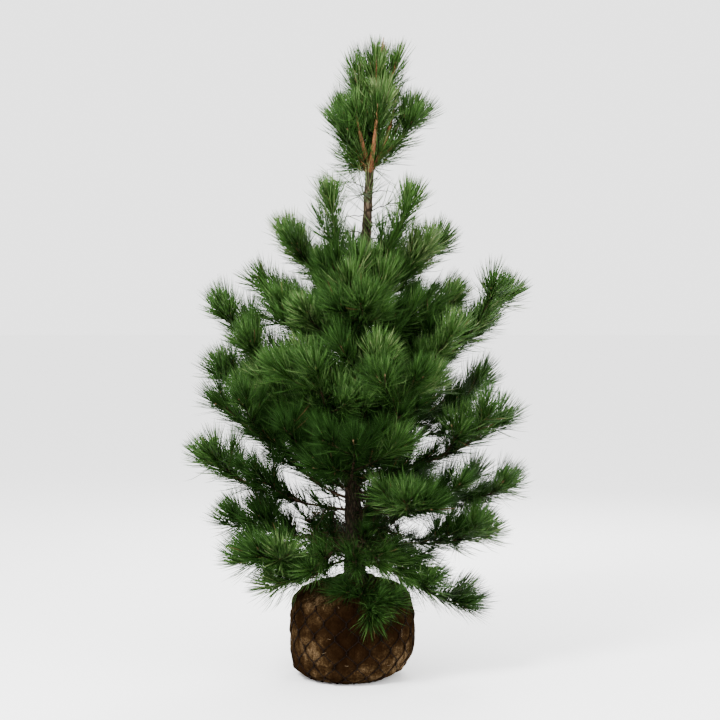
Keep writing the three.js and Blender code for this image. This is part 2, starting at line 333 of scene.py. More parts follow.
def sackingFinish():
    # UV runs in metres round the ball and up its side
    finish = Finish("damp burlap", Roughness=1.0, Specular_IOR_Level=0.0)
    across = finish.mottle(finish.place("UV", (90, 900, 1)), 1.0, 3.0)
    upward = finish.mottle(finish.place("UV", (900, 90, 1)), 1.0, 3.0)
    weave = across.maths("MAXIMUM", upward)
    spot = finish.place()
    damp = finish.mottle(spot, 6.5, 4.0)
    soil = finish.mottle(spot, 36.0, 8.0)
    crumbs = finish.mottle(spot, 210.0, 5.0)
    # painted shade: the sacking darkens towards a spot at the front middle of the ball, where the
    # foliage over it shades it and it is wet, and grows drier and lighter away from there
    shadedWetDistance = finish.add("ShaderNodeVectorMath", {"operation": "DISTANCE"},
                     [spot, (0.03, -0.22, 0.2)], output="Value")
    dryLitShare = (shadedWetDistance * 3.4).maths("MINIMUM", 0.62)
    bulge = finish.add("ShaderNodeAttribute", {"attribute_name": "bulge"}, output="Fac")
    colour = finish.ramp(damp * 0.5 + soil * 0.35 + crumbs * 0.3 + dryLitShare * 0.42, [
        (0.54, (0.0022, 0.0009, 0.0004)), (0.66, (0.006, 0.0025, 0.0009)),
        (0.78, (0.0115, 0.0056, 0.0022)), (0.86, (0.032, 0.018, 0.0072)),
        (0.97, (0.125, 0.081, 0.041)),
    ])
    thread = finish.blend(weave * 1.5 - 0.2, (0.004, 0.002, 0.0008, 1), colour)
    # painted shade: the sacking is darkened in the creases along the wires
    finish.feed("Base Color", finish.blend(bulge, (0.0025, 0.0014, 0.0008, 1), thread))
    finish.relief(weave * 0.8 + crumbs * 0.8 + soil * 0.6, 0.9, 0.002)
    return finish


bark, boughBark, youngBark = barkFinish(), boughFinish(), youngFinish()
shootBark = mottledFinish("green-brown shoots", 60.0, 4.0, [
    (0.35, (0.018, 0.014, 0.005)), (0.55, (0.05, 0.032, 0.012)), (0.72, (0.11, 0.055, 0.02)),
], 0.4, Roughness=0.75, Specular_IOR_Level=0.2)
budScales = mottledFinish("bud scales", 300.0, 3.0, [
    (0.35, (0.09, 0.035, 0.014)), (0.65, (0.24, 0.14, 0.065)),
], 0.6, Roughness=0.65)
rustyWire = mottledFinish("rusty wire", 160.0, 4.0, [
    (0.4, (0.0014, 0.0009, 0.0007)), (0.58, (0.004, 0.0018, 0.0011)),
    (0.75, (0.025, 0.009, 0.0035)),
], Roughness=0.8, Specular_IOR_Level=0.05)
straw = mottledFinish("straw", 90.0, 2.0, [
    (0.35, (0.07, 0.042, 0.017)), (0.65, (0.17, 0.115, 0.055)),
], Roughness=0.75)
print("finishes made")


trunkShape = {
    "sides": 24,
    "ringGap": 0.02,  # height between the rings of the first shaping
    "furrow": 0.0021,  # depth of the cracks between bark plates
    "swelling": 0.0022,  # height of its uneven lumps
    "plate": 0.013,  # width of a bark plate
    "plateStretch": 2.4,  # a plate's height over its width
    "tipHeight": 0.012,  # the rounded end of the leader
    "whorlSwelling": 0.05,  # share by which the trunk thickens where boughs leave it
}
trunkPoints, trunkFaces = solidOf("trunk")
trunkFoot, trunkTip = trunkPoints[:, 2].min(), trunkPoints[:, 2].max()


def sliceOf(points, faces, height):
    # centre and mean radius of a solid at one height
    corners = points[faces]
    spots = []
    for a, b in ((0, 1), (1, 2), (2, 0)):
        low, high = corners[:, a], corners[:, b]
        crossing = (low[:, 2] - height) * (high[:, 2] - height) < 0
        share = (height - low[crossing, 2]) / (high[crossing, 2] - low[crossing, 2])
        spots.append(low[crossing] + (high[crossing] - low[crossing]) * share[:, None])
    spots = np.concatenate(spots)
    centre = (spots.min(0) + spots.max(0)) / 2
    return centre, float(np.linalg.norm(spots - centre, axis=1).mean())


sliceHeights = np.linspace(trunkFoot + 0.001, trunkTip - trunkShape["tipHeight"], 140)
trunkSlices = [sliceOf(trunkPoints, trunkFaces, h) for h in sliceHeights]
trunkCentres = np.array([c for c, _ in trunkSlices])
trunkRadii = np.array([r for _, r in trunkSlices])
soften = np.ones(9) / 9


def smoothed(row):
    padded = np.concatenate([np.full(4, row[0]), row, np.full(4, row[-1])])
    return np.convolve(padded, soften, "valid")


trunkCentres = np.stack([smoothed(trunkCentres[:, i]) for i in range(3)], axis=1)
trunkRadii = smoothed(trunkRadii)


def trunkAt(height):
    centre = [np.interp(height, sliceHeights, trunkCentres[:, i]) for i in (0, 1)]
    return np.array([*centre, height]), float(np.interp(height, sliceHeights, trunkRadii))


def platesAt(place):
    # 0 in the cracks between bark plates, 1 on them
    size, stretch = trunkShape["plate"], trunkShape["plateStretch"]
    spot = Vector((place[0] / size, place[1] / size, place[2] / (size * stretch)))
    near = noise.voronoi(spot)[0]
    return min(1.0, (near[1] - near[0]) * 2.4)


def makeTrunk(whorlHeights):
    rings, height = [trunkAt(trunkFoot)], trunkFoot
    while height < trunkTip - 0.004:
        height = min(height + trunkShape["ringGap"], trunkTip - 0.003)
        centre, radius = trunkAt(height)
        if height > trunkTip - trunkShape["tipHeight"]:
            radius *= 0.55
        rings.append((centre, radius))
    trunk = ringedShape("bark_trunk", trunkShape["sides"], rings)
    bpy.ops.object.modifier_add(type="SUBSURF")
    smooth = trunk.modifiers[-1]
    smooth.levels = smooth.render_levels = 2
    bpy.ops.object.modifier_apply(modifier=smooth.name)
    for corner in trunk.data.vertices:
        centre, radius = trunkAt(corner.co.z)
        out = np.array(corner.co) - centre
        reach = np.linalg.norm(out[:2])
        if reach < radius * 0.4:
            continue
        out /= reach
        near = np.abs(whorlHeights - corner.co.z).min()
        push = trunkShape["whorlSwelling"] * radius * math.exp(-((near / 0.02) ** 2))
        push += trunkShape["swelling"] * noise.noise(corner.co * 22)
        old = min(1.0, radius / 0.026)
        push -= trunkShape["furrow"] * old * (1 - platesAt(corner.co))
        push += 0.0006 * noise.noise(corner.co * 240)
        fade = min(1.0, (corner.co.z - trunkFoot) / 0.004)
        corner.co += Vector((out[0], out[1], 0)) * push * fade
    bpy.ops.object.shade_smooth()
    trunk.data.materials.append(bark.material)
    return trunk


growth = {
    "needleReach": 0.095,  # a shoot ends this far short of its foliage's tip
    "tipRadius": 0.0021,
    "shootGap": 0.052,  # between the side shoots of a bough
    "shootLength": (0.08, 0.16),
    "shootSpread": (26, 48),  # degrees from the bough
    "rise": 0.26,  # by which side shoots turn up
    "overhang": 0.02,  # by which side shoots may pass the solid foliage
    "candles": 3,  # short shoots round each tip
    "fillers": 40,  # thin boughs between the main ones
    "apron": 17,  # low shoots over the ball
    "drapes": 5,  # longer ones over its right shoulder
    "uprights": 26,  # shoots that fill the shoulder of the crown round the trunk
    "fillerHeights": (0.6, 0.64),  # the lowest, and how far the rest spread above it
    "uprightHeights": (1.14, 0.27),
    "stubHeights": (1.55, 0.021),  # the lowest dead twig, and the step to the next
    "whorl": 1.786,  # height at which the leader's stout stems leave the trunk
    "bareStretch": 1.5,  # above it no side plume stands before the trunk
    "core": (  # twigs on the trunk: from and to, the gap between them, the share alive, reach
        (0.4, 0.56, 0.004, 0.16, (0.09, 0.28)),
        (0.56, 0.84, 0.0052, 0.65, (0.09, 0.3)),
        (0.84, 1.38, 0.018, 0.9, (0.09, 0.24)),
    ),
}


class Foliage:
    # one CAD mass of foliage: where its bough enters it and where its plumes end
    def __init__(self, node):
        self.node = node
        self.points, self.faces = solidOf(node)
        self.limb = "bough_" + node.removeprefix("foliage_")
        if self.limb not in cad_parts:
            self.limb = None
        self.findEntry()
        self.findTips()

    def findEntry(self):
        if self.limb:
            points, _ = solidOf(self.limb)
            middles = np.array([trunkAt(z)[0] for z in points[:, 2]])
            away = np.linalg.norm(points - middles, axis=1)
            near = points[away < np.percentile(away, 25)]
            far = points[away > np.percentile(away, 80)]
            self.entry = far.mean(0)
            self.root, _ = trunkAt(near[:, 2].mean())
            self.radius = float(np.linalg.norm(near - near.mean(0), axis=1).mean())
            self.heading = unit(self.entry - self.root)
        else:
            middles = np.array([trunkAt(min(z, trunkTip))[0] for z in self.points[:, 2]])
            away = np.linalg.norm(self.points - middles, axis=1)
            near = self.points[np.argsort(away)[:8]]
            self.root, _ = trunkAt(near[:, 2].mean() - 0.01)
            self.entry = self.root
            self.radius = 0.0105
            middle = self.points.mean(0) - self.root
            self.heading = unit([middle[0], middle[1], 0.25 * abs(middle[2])])

    def findTips(self):
        # a plume's tip is a corner that lies further from the entry than all its neighbours
        away = np.linalg.norm(self.points - self.entry, axis=1)
        highest = away.copy()
        for a, b in ((0, 1), (1, 2), (2, 0)):
            np.maximum.at(highest, self.faces[:, a], away[self.faces[:, b]])
            np.maximum.at(highest, self.faces[:, b], away[self.faces[:, a]])
        peaks = [i for i in np.argsort(-away) if away[i] >= highest[i] - 0.006]
        self.tips = []
        for i in peaks:
            if away[i] < 0.42 * away.max():
                continue
            if any(np.linalg.norm(self.points[i] - tip) < 0.085 for tip in self.tips):
                continue
            close = np.linalg.norm(self.points - self.points[i], axis=1) < 0.065
            self.tips.append(self.points[close & (away > away[i] - 0.03)].mean(0))


masses = [Foliage(node) for node in foliageNodes if node != "foliage_leader"]
print("plumes found:", sum(len(m.tips) for m in masses))

everyPoint, everyFace, seen = [], [], 0
for node in foliageNodes:
    points, faces = solidOf(node)
    everyPoint.extend(map(Vector, points))
    everyFace.extend((faces + seen).tolist())
    seen += len(points)
crownSkin = BVHTree.FromPolygons(everyPoint, everyFace)


def outsideBy(place, skin=crownSkin):
    # how far a place lies outside a solid's skin, here the foliage's, negative inside it
    spot, normal, _, distance = skin.find_nearest(Vector(place))
    return distance if (Vector(place) - spot).dot(normal) > 0 else -distance


goldenTurn = 2.4  # radians from one shoot to the next
toneOrder = ["deep", "shade", "green", "fresh", "bright", "pale"]
ballPoints, ballFaces = solidOf("root_ball")
ballTop = ballPoints[:, 2].max()
ballSkin = BVHTree.FromPolygons([Vector(p) for p in ballPoints], ballFaces.tolist())
boughs, twigs, youngWood, shoots = Tubes(), Tubes(), Tubes(), Tubes()
runs = []  # stretches that bear needles: path, tone, fullness and how wide the needles stand
buds = []
crownReach = np.array([  # how far the crown may reach from the trunk, by height
    (0.3, 0.42), (0.42, 0.5), (0.6, 0.58), (0.8, 0.55), (1.0, 0.53), (1.2, 0.46), (1.4, 0.36),
    (1.46, 0.26), (1.52, 0.1), (1.56, 0.0), (1.76, 0.0), (1.82, 0.15), (2.0, 0.19), (2.2, 0.06),
])


def knobbly(ring, radius):
    return np.array([0.09 * radius * noise.noise(Vector(p) * 130) for p in ring])


def growStem(wood, start, heading, end, arrival, radii, steps, sides):
    # a bent, knobbly stem that tapers from the first radius to the second
    path = bentPath(start, unit(heading), end, unit(arrival), steps)
    wood.add(path, np.linspace(*radii, steps), sides, knobbly)
    return path


def bear(path, tone, fullness=1.0, wide=1.0, tuft=True, length=1.0):
    # inner sprays are dealt darker tones as painted shade in the crown's recesses, most of all in
    # the lower half of the crown; inner growth is also older and so darker
    place = np.asarray(path)[-1]
    reach = np.linalg.norm(place[:2] - trunkAt(min(place[2], trunkTip))[0][:2])
    inside = reach / np.interp(place[2], crownReach[:, 0], crownReach[:, 1])
    sunny = place[0] > 0.09 and place[1] < -0.17  # painted light: the front right side is spared this painted shade, as lit
    if 0.5 < place[2] < 0.95 and inside < 0.75:
        tone = deeper(tone, 0 if sunny else 2)
    elif 0.95 < place[2] < 1.5 and inside < 0.5:
        tone = deeper(tone)
    runs.append({"path": np.asarray(path), "tone": tone, "fullness": fullness, "wide": wide,
                 "tuft": tuft, "length": length})


def addBud(path, size):
    buds.append((path[-1], unit(path[-1] - path[-2]), size))


def crossOf(ahead):
    side = unit(np.cross(ahead, up) if abs(ahead[2]) < 0.95 else np.array([1.0, 0, 0]))
    return side, np.cross(side, ahead)


def deeper(tone, steps=1):
    # the tone some steps darker, or lighter if steps is negative
    return toneOrder[min(max(0, toneOrder.index(tone) - steps), len(toneOrder) - 1)]


def roomAt(place, overhang):
    # whether a shoot may end here: in its foliage, just outside it, or well inside the crown
    if outsideBy(place) < overhang:
        return True
    if place[2] < ballTop + 0.03:
        return False
    middle, _ = trunkAt(min(place[2], trunkTip))
    reach = np.linalg.norm(place[:2] - middle[:2])
    share = 0.74 if 0.5 < place[2] < 1.1 else 0.64
    return reach < share * np.interp(place[2], crownReach[:, 0], crownReach[:, 1])


def growCandles(tip, ahead, tone):
    # short shoots in a ring round the end of a bough
    side, other = crossOf(ahead)
    turn = dice.uniform(0, 6.28)
    for k in range(growth["candles"]):
        angle = turn + 2 * math.pi * k / growth["candles"]
        lean = math.radians(dice.uniform(14, 30))
        out = math.cos(angle) * side + math.sin(angle) * other
        heading = unit(ahead * math.cos(lean) + out * math.sin(lean))
        end = tip + heading * dice.uniform(0.03, 0.06)
        path = bentPath(tip - ahead * 0.012, heading, end, unit(heading + 0.4 * up), 4)
        shoots.add(path, np.linspace(0.0019, 0.0012, 4), 5)
        bear(path, tone, 0.9)
        addBud(path, dice.uniform(0.7, 1))


def growShoots(path, tone, firstShare, overhang, gap=1.0):
    # side shoots, turned a golden angle each time, where the crown has room for them
    length = lengthOf(path)
    count = int(length * (1 - firstShare) / (growth["shootGap"] * gap))
    for k in range(count):
        share = firstShare + (1 - firstShare) * (k + dice.uniform(0.1, 0.7)) / max(count, 1)
        start, ahead = pointAt(path, share)
        side, other = crossOf(ahead)
        angle = k * goldenTurn + dice.uniform(-0.4, 0.4)
        out = unit(math.cos(angle) * side + (math.sin(angle) * 0.6 + 0.3) * other)
        spread = math.radians(dice.uniform(*growth["shootSpread"]))
        heading = unit(ahead * math.cos(spread) + out * math.sin(spread) + up * growth["rise"])
        size = dice.uniform(*growth["shootLength"]) * (1.1 - 0.4 * share)
        end = start + heading * size
        if not roomAt(end + heading * 0.06, overhang):
            continue
        shoot = bentPath(start, heading, end, unit(heading + 0.5 * up), 5)
        shoots.add(shoot, np.linspace(0.0022, 0.0013, 5), 5)
        # painted shade: shoots that end deep inside the foliage get needles two tones darker
        inner = outsideBy(end) < -0.045
        bear(shoot, deeper(tone, 2 if inner else int(dice.random() < 0.4)), 0.75)
        addBud(shoot, dice.uniform(0.5, 0.8))


def growTwigs(path, gap, alive, reach, fullness=0.5):
    # thin inner twigs, some of them bare and forked, along a limb or the trunk
    count = int(lengthOf(path) / gap)
    for k in range(count):
        start, ahead = pointAt(path, (k + dice.uniform(0.1, 0.9)) / max(count, 1))
        side, other = crossOf(ahead)
        angle = dice.uniform(0, 6.28)
        out = math.cos(angle) * side + math.sin(angle) * other
        spread = math.radians(dice.uniform(40, 80))
        heading = unit(ahead * math.cos(spread) + out * math.sin(spread))
        end = start + heading * dice.uniform(*reach)
        if not roomAt(end, 0.01):
            continue
        twig = bentPath(start, heading, end, unit(heading + up * dice.uniform(-0.2, 0.7)), 6)
        twig[1:-1] += dice.normal(0, 0.004, (4, 3))
        living = dice.random() < alive
        twigs.add(twig, np.linspace(0.0021, 0.0012 if living else 0.0007, 6), 5)
        if living:
            # painted shade: the needles of these inner twigs are two tones darker
            bear(twig[2:], deeper(toneOf(end[2]), 2), fullness, length=0.9)
            continue
        for share in (0.35, 0.6, 0.8):
            fork, along = pointAt(twig, share + dice.uniform(-0.1, 0.1))
            twigEnd = fork + unit(along + dice.normal(0, 0.7, 3)) * dice.uniform(0.02, 0.07)
            twigs.add(bentPath(fork, along, twigEnd, along, 4), np.linspace(0.0012, 0.0006, 4), 4)


def toneOf(height):
    # each spray is dealt a green, paler towards the top of the tree: painted light where the top of
    # the crown is lit, and fresher growth there
    roll = dice.random() + 0.3 * min(1.0, max(0.0, (height - 1.0) / 0.6))
    for tone, limit in (("deep", 0.08), ("shade", 0.38), ("green", 0.86), ("fresh", 1.14)):
        if roll < limit:
            return tone
    return "bright"


def growMass(mass):
    tips = sorted(mass.tips, key=lambda tip: -np.linalg.norm(tip - mass.entry))
    topWhorl = mass.node.startswith("foliage_top")
    overhang = 0.05 if mass.node.startswith("foliage_foot") else growth["overhang"]
    line = unit(tips[0] - mass.entry)
    end = tips[0] - line * growth["needleReach"]
    main = bentPath(mass.entry, mass.heading, end, unit(line + 0.35 * up), 14)
    whole = main
    if mass.limb:
        limb = bentPath(mass.root, mass.heading, mass.entry, unit(main[1] - main[0]), 8)
        whole = np.concatenate([limb[:-1], main])
    steps = np.linspace(0, 1, len(whole))
    radii = mass.radius + (growth["tipRadius"] - mass.radius) * steps**0.8
    radii[0] *= 1.35
    (youngWood if topWhorl else boughs).add(whole, radii, 12, knobbly)
    tone = toneOf(tips[0][2])
    first = 0 if topWhorl else 3
    full = 1.5 if mass.node.startswith("foliage_shoulder") else 1.0
    bear(main[first:9], deeper(tone), 0.9 * full, tuft=False)
    bear(main[8:], tone, full)
    addBud(main, 1.0)
    growCandles(main[-1], unit(main[-1] - main[-2]), tone)
    growShoots(main, tone, 0.12, overhang)
    if mass.limb and not topWhorl:
        low = mass.root[2] < 0.76
        if not low:
            bear(limb[3:], deeper(tone), 0.85 * full, 1.1, tuft=False)
        elif mass.node.startswith("foliage_foot"):
            bear(limb[3:], tone, 1.1, 1.25, tuft=False)
        growTwigs(limb, 0.018 if low else 0.05, 0.5 if low else 0.85, (0.05, 0.17))
    elif topWhorl:
        bear(whole[3:10], tone, 1.5, 1.25, tuft=False)
    for tip in tips[1:]:
        if tip[2] > growth["bareStretch"] and abs(tip[0]) < 0.11 and not topWhorl:
            continue  # keeps the trunk's bare stretch in sight
        along = float(np.dot(tip - mass.entry, line))
        aside = float(np.linalg.norm(tip - mass.entry - line * along))
        share = min(max((along - aside * 1.1) / np.linalg.norm(end - mass.entry), 0.04), 0.8)
        start, ahead = pointAt(main, share)
        direction = unit(tip - start)
        sideEnd = tip - direction * growth["needleReach"]
        side = bentPath(start, unit(ahead + direction), sideEnd, unit(direction + 0.4 * up), 10)
        thick = float(np.interp(share, np.linspace(0, 1, 14), radii[-14:])) * 0.72
        boughs.add(side, np.linspace(thick, growth["tipRadius"], 10), 8, knobbly)
        sideTone = toneOf(tip[2])
        bear(side[2:6], deeper(sideTone), 0.9, tuft=False)
        bear(side[5:], sideTone, 1.0)
        addBud(side, 0.9)
        growCandles(side[-1], unit(side[-1] - side[-2]), sideTone)
        growShoots(side, sideTone, 0.2, overhang)


def growLeader():
    # the leader's own needles and the ring of candles round its tip
    points, _ = solidOf("foliage_leader")
    low, top = points[:, 2].min(), points[:, 2].max()
    line = np.array([trunkAt(z)[0] for z in np.linspace(low, trunkTip - 0.01, 12)])
    bear(line, "green", 1.3)
    bear([trunkAt(z)[0] for z in np.linspace(1.8, low, 6)], "green", 0.7, 1.35, tuft=False)
    bear([trunkAt(z)[0] for z in np.linspace(1.6, 1.79, 6)], "bright", 0.28, 1.7, tuft=False)
    reach = np.linalg.norm(points[:, :2] - points[:, :2].mean(0), axis=1).max()
    for k in range(20):
        stout = k < 9  # these leave the trunk at the whorl, the rest higher up
        rise = low + (0.05 + 0.06 * (k - 9)) * (trunkTip - low)
        start, _ = trunkAt(growth["whorl"] + 0.003 * k if stout else rise)
        out = outward(goldenTurn * k + 2.5)
        end = start + out * (dice.uniform(0.08, 0.14) if stout else reach * dice.uniform(0.4, 0.9))
        if stout:
            end[2] = start[2] + dice.uniform(0.17, 0.27)
        else:
            end[2] = min(start[2] + dice.uniform(0.12, 0.2), top - 0.09)
        heading = out + (1.3 if stout else 0.8) * up
        radii = (0.0118 if stout else 0.0052, 0.0028)
        path = growStem(youngWood, start, heading, end, 0.2 * out + up, radii, 8, 8)
        bear(path[3 if stout else 2:], ("green", "shade", "fresh")[k % 3], 0.75 if stout else 1.0)
        addBud(path, 1.4)
    buds.append((line[-1], np.array([0.05, 0, 1.0]), 1.6))
    for k in range(6):
        lean = np.array([0.35 * math.cos(k), 0.35 * math.sin(k), 1.0])
        buds.append((line[-1] + 0.012 * lean * (k % 2), unit(lean), 4.6 + 0.4 * (k % 3)))
    for k in range(6):  # a skirt of small tufts under the top whorl
        start, _ = trunkAt(1.795 + 0.006 * k)
        out = outward(math.radians(176 + 62 * k))
        end = start + out * dice.uniform(0.06, 0.085) + up * dice.uniform(0.03, 0.075)
        radii = (0.0028, 0.0015)
        path = growStem(youngWood, start, out + 0.2 * up, end, out + up, radii, 6, 6)
        bear(path, "green" if k % 2 else "fresh", 0.6, 1.2)


def growStubs():
    # dead twigs and a few loose needles on the trunk's bare stretch
    for k in range(11):
        lowest, step = growth["stubHeights"]
        start, _ = trunkAt(lowest + step * k)
        out = outward(goldenTurn * k + 0.2)
        end = start + out * dice.uniform(0.06, 0.13) + up * dice.uniform(-0.01, 0.045)
        path = bentPath(start, unit(out + 0.4 * up), end, unit(out - 0.3 * up), 7)
        path[1:-1] += dice.normal(0, 0.0025, (5, 3))
        twigs.add(path, np.linspace(0.0022, 0.001, 7), 5)
        if k % 2:
            bear(path[2:], "bright" if k % 4 == 1 else "fresh", 0.35, 1.4, tuft=False)


def growUprights():
    # steep shoots round the trunk under its bare stretch
    for k in range(growth["uprights"]):
        low, spread = growth["uprightHeights"]
        start, _ = trunkAt(low + spread * (k + dice.random()) / growth["uprights"])
        out = outward(goldenTurn * k)
        reach = dice.uniform(0.09, 0.25)
        end = start + out * reach + up * dice.uniform(0.1, 0.2)
        end[2] = min(end[2], 1.4 + 0.4 * reach)
        radii = (0.0055, 0.002)
        path = growStem(boughs, start, out + 0.5 * up, end, 0.3 * out + up, radii, 8, 7)
        tone = toneOf(1.1)
        bear(path[2:], tone, 0.95)
        addBud(path, 0.9)
        growShoots(path, tone, 0.3, 0.05, 1.2)


def growFillers():
    # thin boughs between the main ones, so that the crown closes round the trunk
    for k in range(growth["fillers"]):
        low, spread = growth["fillerHeights"]
        height = low + spread * (k + dice.random()) / growth["fillers"]
        start, _ = trunkAt(height)
        out = outward(goldenTurn * k + 1)
        reach = dice.uniform(0.4, 0.62) * np.interp(height, crownReach[:, 0], crownReach[:, 1])
        end = start + out * reach + up * reach * dice.uniform(0.25, 0.7)
        radii = (0.0062, 0.002)
        path = growStem(boughs, start, out + 0.1 * up, end, out + 0.8 * up, radii, 9, 7)
        # painted shade: these inner boughs are dealt a tone one step darker
        tone = deeper(toneOf(height), 1)
        bear(path[3:], tone, 0.8)
        growShoots(path, tone, 0.25, 0.05, 1.3)


def growApron():
    # low shoots that hang over the top of the ball
    for k in range(growth["apron"]):
        start, _ = trunkAt(dice.uniform(0.4, 0.5))
        out = outward(goldenTurn * k + 0.5)
        reach = dice.uniform(0.13, 0.29)
        end = start + out * reach
        end[2] = ballTop + dice.uniform(0.02, 0.09)
        radii = (0.0042, 0.0016)
        path = growStem(twigs, start, out + 0.3 * up, end, out - 0.5 * up, radii, 8, 6)
        bear(path[3:], ("green", "shade", "fresh")[k % 3], 0.8)
        growTwigs(path, 0.05, 0.7, (0.03, 0.09))
    for k in range(growth["drapes"]):  # longer ones that hang over the ball's right shoulder
        start, _ = trunkAt(0.41 + 0.01 * k)
        out = outward(math.radians(-14 - 10 * k))
        end = start + out * dice.uniform(0.23, 0.29)
        end[2] = ballTop + dice.uniform(-0.01, 0.05)
        radii = (0.0048, 0.0016)
        path = growStem(twigs, start, out + 0.35 * up, end, out - 0.6 * up, radii, 8, 6)
        bear(path[3:], ("green", "shade")[k % 2], 0.8)


for mass in masses:
    growMass(mass)
growLeader()
growStubs()
growUprights()
growFillers()
growApron()
for low, high, gap, alive, reach in growth["core"]:
    core = np.array([trunkAt(z)[0] for z in np.linspace(low, high, 20)])
    growTwigs(core, gap, alive, reach, 0.55)
print("runs of needles:", len(runs), "buds:", len(buds))


needleShape = {
    "count": 124000,
    "length": (0.094, 0.134),
    "girth": 0.00102,  # a needle's radius
    "bend": 0.7,  # share of its length at which a needle bends and starts to taper
    "pairSpread": 8,  # degrees between the two needles of a pair and their middle
    "tipAngle": 10,  # from the shoot at its tip
    "sideAngle": 31,
    "baseAngle": 48,
    "lift": 0.16,  # by which needles sweep up
    "tuft": 11,  # extra pairs at a shoot's end
    "mixing": (0.0015, 0.06, 0.34, 0.18),  # shares: dry, two tones lighter as painted highlights, one deeper, one lighter as painted highlights
    "ballRoom": (0.02, 0.03),  # that a needle's tip, and its middle, keeps from the ball
    "perPiece": 19500,  # bent needles in one mesh
}
needleTones = {  # from the darkest to the palest: the dark tones paint shade inside the crown and the light ones also painted highlights, and older growth is darker too
    "deep": needleFinish("deep needles", (0.005, 0.0155, 0.0024), 0.5, 0.01),
    "shade": needleFinish("shaded needles", (0.009, 0.026, 0.0036), 0.46, 0.03),
    "green": needleFinish("green needles", (0.0158, 0.0445, 0.0064), 0.43, 0.07),
    "fresh": needleFinish("fresh needles", (0.0305, 0.073, 0.0122), 0.4),
    "bright": needleFinish("bright needles", (0.062, 0.114, 0.031), 0.38),
    "pale": needleFinish("yellow-green needles", (0.125, 0.165, 0.062), 0.4),
    "dry": needleFinish("dry needles", (0.07, 0.037, 0.014), 0.7),
}


def sprayOf(run, spacing):
    # pairs of needles round a shoot, turned a golden angle from one pair to the next
    path = run["path"]
    tuft = needleShape["tuft"] if run["tuft"] else 0
    pairs = max(4, int(lengthOf(path) * run["fullness"] / spacing)) + tuft
    shares = dice.uniform(0, 1, pairs)
    shares[:tuft] = dice.uniform(0.93, 1, tuft)
    spot = shares * (len(path) - 1)
    low = np.minimum(spot.astype(int), len(path) - 2)
    step = path[low + 1] - path[low]
    places = path[low] + step * (spot - low)[:, None]
    ahead = unit(step)
    side = unit(np.cross(ahead, up) + 1e-4)
    other = np.cross(side, ahead)
    turn = np.arange(pairs) * 2.39996 + dice.uniform(0, 6.28)
    out = side * np.cos(turn)[:, None] + other * np.sin(turn)[:, None]
    angles = [needleShape[k] for k in ("baseAngle", "sideAngle", "sideAngle", "tipAngle")]
    if not run["tuft"]:
        angles[3] = angles[2]
    angle = np.interp(shares, [0, 0.25, 0.75, 1], angles) * run["wide"] + dice.normal(0, 7, pairs)
    angle = np.radians(np.clip(angle, 4, 88))[:, None]
    middle = unit(ahead * np.cos(angle) + out * np.sin(angle) + up * needleShape["lift"])
    across = unit(np.cross(middle, out) + 1e-4)
    half = math.radians(needleShape["pairSpread"])
    starts = np.empty((2 * pairs, 3))
    for i, sign in ((0, 1), (1, -1)):
        apart = np.tan(half * sign * dice.uniform(0.5, 1.5, (pairs, 1)))
        starts[i::2] = unit(middle + across * apart)
    inward = np.repeat(ahead, 2, axis=0) * 0.24 + up * 0.05
    ends = unit(starts + inward + dice.normal(0, 0.06, (2 * pairs, 3)))
    lengths = dice.uniform(*needleShape["length"], 2 * pairs) * run["length"]
    lengths *= np.repeat(np.interp(shares, [0, 0.8, 1], [1, 1, 0.84]), 2)
    return np.repeat(places, 2, axis=0), starts, ends, lengths


def needleArrays(bases, starts, ends, lengths, bent):
    # each needle is a thin three-sided body that ends in a point; the outer ones bend midway
    count = len(bases)
    girths = needleShape["girth"] * dice.uniform(0.85, 1.15, count)
    bend = needleShape["bend"]
    middles = bases + starts * lengths[:, None] * bend
    side = unit(np.cross(starts, up) + 1e-4)
    other = np.cross(starts, side)
    corners = 7 if bent else 4
    points = np.empty((count, corners, 3))
    for k in range(3):
        turn = 2 * math.pi * k / 3
        out = (side * math.cos(turn) + other * math.sin(turn)) * girths[:, None]
        points[:, k] = bases + out * (0.8 if bent else 1.15)
        if bent:
            points[:, 3 + k] = middles + out
    points[:, -1] = middles + ends * lengths[:, None] * (1 - bend)
    if bent:
        pattern = [0, 1, 4, 3, 1, 2, 5, 4, 2, 0, 3, 5, 3, 4, 6, 4, 5, 6, 5, 3, 6, 2, 1, 0]
        sizes = [4, 4, 4, 3, 3, 3, 3]
    else:
        pattern, sizes = [0, 1, 3, 1, 2, 3, 2, 0, 3, 2, 1, 0], [3, 3, 3, 3]
    indices = np.array(pattern)[None, :] + corners * np.arange(count)[:, None]
    return points.reshape(-1, 3), np.tile(sizes, count), indices.ravel()


slack = [0.022 * (cadBox[1][i] - cadBox[0][i]) + 0.008 for i in range(3)]


def allowedNeedles(bases, starts, ends, lengths):
    # drops needles that leave the model's box or run into the root ball
    bend = needleShape["bend"]
    middles = bases + starts * lengths[:, None] * bend
    tips = middles + ends * lengths[:, None] * (1 - bend)
    keep = tips[:, 2] > 0.006
    for i in range(3):
        keep &= (tips[:, i] > cadBox[0][i] - slack[i]) & (tips[:, i] < cadBox[1][i] + slack[i])
    for i in np.nonzero(keep & (np.minimum(tips[:, 2], middles[:, 2]) < ballTop + 0.03))[0]:
        for place, room in zip((tips[i], middles[i]), needleShape["ballRoom"]):
            keep[i] &= outsideBy(place, ballSkin) > room
    return keep


